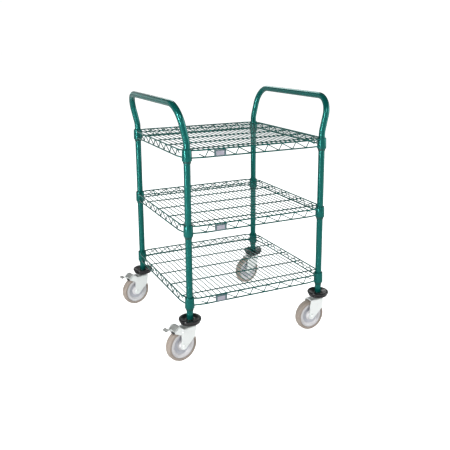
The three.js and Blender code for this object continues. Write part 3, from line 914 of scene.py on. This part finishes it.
def build_foot_pad(name, place):
    """The arm out of the channel's lower end and the ribbed pad for a foot."""
    body = f"brake_{name}"
    step = Vector((math.cos(PAD_TILT), -math.sin(PAD_TILT)))
    normal = Vector((-step.y, step.x))
    near = Vector(PAD_CENTRE) - step * PAD_HALF_LENGTH
    far = Vector(PAD_CENTRE) + step * PAD_HALF_LENGTH
    arm = soft_line([
        (78 * MM, 130.6 * MM), (86 * MM, 130 * MM),
        (near.x - 1 * MM, near.y - 1.6 * MM), (near.x + 5 * MM, near.y - 3.2 * MM)], 6 * MM)
    bm = bmesh.new()
    add_prism(bm, band(arm, ARM_SHEET), -ARM_HALF_WIDTH, ARM_HALF_WIDTH, along_cheek(place))
    add_piece(bm, f"brake_pedal_{name}_arm", ZINC, body, bevel=0.35 * MM)

    bm = bmesh.new()
    lift = normal * PAD_HALF_SHEET
    pad = [near - lift, far - lift, far + lift, near + lift]
    add_prism(bm, [tuple(p) for p in pad], -PAD_HALF_WIDTH, PAD_HALF_WIDTH, along_cheek(place))
    for i in range(RIB_COUNT):
        mid = near + step * (2 * PAD_HALF_LENGTH) * (i + 0.5) / RIB_COUNT + lift
        foot, head = mid - normal * 0.5 * MM, mid + normal * 0.2 * MM
        rib = [foot - step * 0.9 * MM, foot + step * 0.9 * MM,
               head + step * 0.6 * MM, head - step * 0.6 * MM]
        add_prism(bm, [tuple(p) for p in rib], -RIB_HALF_WIDTH, RIB_HALF_WIDTH, along_cheek(place))
    add_piece(bm, f"brake_pedal_{name}_pad", PAD, body, bevel=0.4 * MM)


def build_shoe(name, place):
    """The rubber block between the tread and the sloping part of the roof."""
    (bend_reach, bend_height), (end_reach, end_height) = PEDAL_ROOF[1:]
    slope = (end_height - bend_height) / (end_reach - bend_reach)
    drop = 0.6 * MM + PEDAL_SHEET / 2 * math.hypot(1, slope)

    def over_tread(reach):
        return WHEEL_RADIUS + math.sqrt(WHEEL_RADIUS ** 2 - (reach - TRAIL) ** 2) + SHOE_CLEAR

    length = SHOE_END - bend_reach
    reaches = [bend_reach + length * i / SHOE_STEPS for i in range(SHOE_STEPS + 1)]
    lower = [(reach, over_tread(reach)) for reach in reaches]
    upper = [(reach, bend_height + slope * (reach - bend_reach) - drop)
             for reach in (SHOE_END, bend_reach)]
    bm = bmesh.new()
    add_prism(bm, lower + upper, -SHOE_HALF_WIDTH, SHOE_HALF_WIDTH, along_cheek(place))
    add_piece(bm, f"brake_shoe_{name}_block", RUBBER, f"brake_{name}",
              f"brake_shoe_{name}", bevel=0.8 * MM)


def build_brake(name):
    """The pedal, its foot pad and the shoe. The pedal's cheeks just clear the fork's."""
    place = caster_place(name)
    build_pedal(name, place, FORK_INNER + FORK_SHEET + PEDAL_GAP)
    build_foot_pad(name, place)
    build_shoe(name, place)


# ---- Assembly -----------------------------------------------------------------------------

for corner_name in CORNERS:
    build_post(corner_name)
    build_bumper(corner_name)
    build_stem(corner_name)
    build_ball_race(corner_name)
    build_fork(corner_name)
    build_tyre(corner_name)
    build_hub(corner_name)
    build_axle(corner_name)
    if corner_name in BRAKED:
        build_brake(corner_name)
build_handle("left", -1)
build_handle("right", 1)
for shelf_name in SHELVES:
    build_shelf(shelf_name)
    build_label_holder(shelf_name)
    for corner_name in CORNERS:
        build_sleeve(shelf_name, corner_name)

# ---- Floor, light and camera --------------------------------------------------------------

FLOOR_RADIUS = 60
FLOOR_GLOW = 1.0  # as the camera sees it
FLOOR_THROW = 0.26  # as the cart sees it
OVERHEAD = 0.12  # brightness of the studio above
HORIZON_BAND = 0.12  # sine of the elevation up to which it stays white
STUDIO_STRENGTH = 1.02
AIM_HEIGHT = 0.5
CAMERA_PLACE = Vector((-1.0701, -2.2559, 1.1709))  # from the point under the posts' middle
CAMERA_TURN = math.radians(25.36)  # clockwise from +Y, seen from above
CAMERA_DIP = math.radians(12.03)
CAMERA_ROLL = math.radians(-0.37)
CAMERA_FOCAL = 1.3499  # focal length over the picture's width
CAMERA_SHIFT = -0.12
SENSOR_WIDTH = 36  # millimetres


def build_floor():
    """A pale floor that the camera sees evenly lit, and that throws a softer light on the cart."""
    bm = bmesh.new()
    bmesh.ops.create_circle(bm, cap_ends=True, segments=96, radius=FLOOR_RADIUS)
    floor = mesh_object(bm, "floor")
    pale = finish("pale_floor", [(0.80, 0.80, 0.80), (0.82, 0.82, 0.82)],
                  rough=(0.8, 0.9), patch=2, grain=200, grain_strength=0.0, specular=0.0)
    shader = shader_of(pale.node_tree)
    shader.inputs["Emission Color"].default_value = (1, 1, 1, 1)
    rays = pale.node_tree.nodes.new("ShaderNodeLightPath").outputs["Is Camera Ray"]
    glow = spread(pale.node_tree, rays, FLOOR_THROW, FLOOR_GLOW)
    pale.node_tree.links.new(glow, shader.inputs["Emission Strength"])
    floor.data.materials.append(pale)


def build_light(name, place, size, power):
    """A soft box at a place, facing the middle of the cart. Its size is (width, height)."""
    data = bpy.data.lights.new(name, "AREA")
    data.shape = "RECTANGLE"
    data.size, data.size_y = size
    data.energy = power
    lamp = bpy.data.objects.new(name, data)
    lamp.location = place
    aim = Vector((CENTRE.x, CENTRE.y, AIM_HEIGHT)) - Vector(place)
    lamp.rotation_euler = aim.to_track_quat("-Z", "Y").to_euler()
    bpy.context.scene.collection.objects.link(lamp)


def build_world():
    """A studio that is white up to a little above the horizon, and dimmer overhead."""
    world = bpy.data.worlds.new("studio")
    world.use_nodes = True
    tree = world.node_tree
    coords = tree.nodes.new("ShaderNodeTexCoord")
    parts = tree.nodes.new("ShaderNodeSeparateXYZ")
    tree.links.new(coords.outputs["Generated"], parts.inputs["Vector"])
    overhead = (OVERHEAD, OVERHEAD, OVERHEAD)
    stops = [(HORIZON_BAND, (1, 1, 1)), (3 * HORIZON_BAND, overhead)]  # in between it fades
    sky = tree.nodes["Background"]
    tree.links.new(ramp(tree, parts.outputs["Z"], stops), sky.inputs["Color"])
    sky.inputs["Strength"].default_value = STUDIO_STRENGTH
    bpy.context.scene.world = world
    bpy.context.scene.view_settings.view_transform = "Standard"


def build_camera():
    """The camera, turned and dipped from looking along +Y."""
    data = bpy.data.cameras.new("camera")
    data.sensor_width = SENSOR_WIDTH
    data.lens = CAMERA_FOCAL * data.sensor_width
    data.shift_y = CAMERA_SHIFT
    data.clip_end = 200
    camera = bpy.data.objects.new("camera", data)
    turn = Matrix.Rotation(-CAMERA_TURN, 4, "Z")
    dip = Matrix.Rotation(math.pi / 2 - CAMERA_DIP, 4, "X")
    roll = Matrix.Rotation(CAMERA_ROLL, 4, "Z")
    place = Matrix.Translation(CAMERA_PLACE + Vector((CENTRE.x, CENTRE.y, 0)))
    camera.matrix_world = place @ turn @ dip @ roll
    bpy.context.scene.collection.objects.link(camera)
    bpy.context.scene.camera = camera


build_floor()
build_light("key", (-2.77, -1.16, 1.1), (0.16, 2.2), 80)
build_light("side", (2.7, -1.4, 1.2), (2.2, 2.2), 40)
build_light("front", (-0.6, -3.6, 3.0), (1.2, 1.2), 50)
build_light("back", (0.8, 3.0, 2.8), (1.6, 1.6), 30)
build_world()
build_camera()
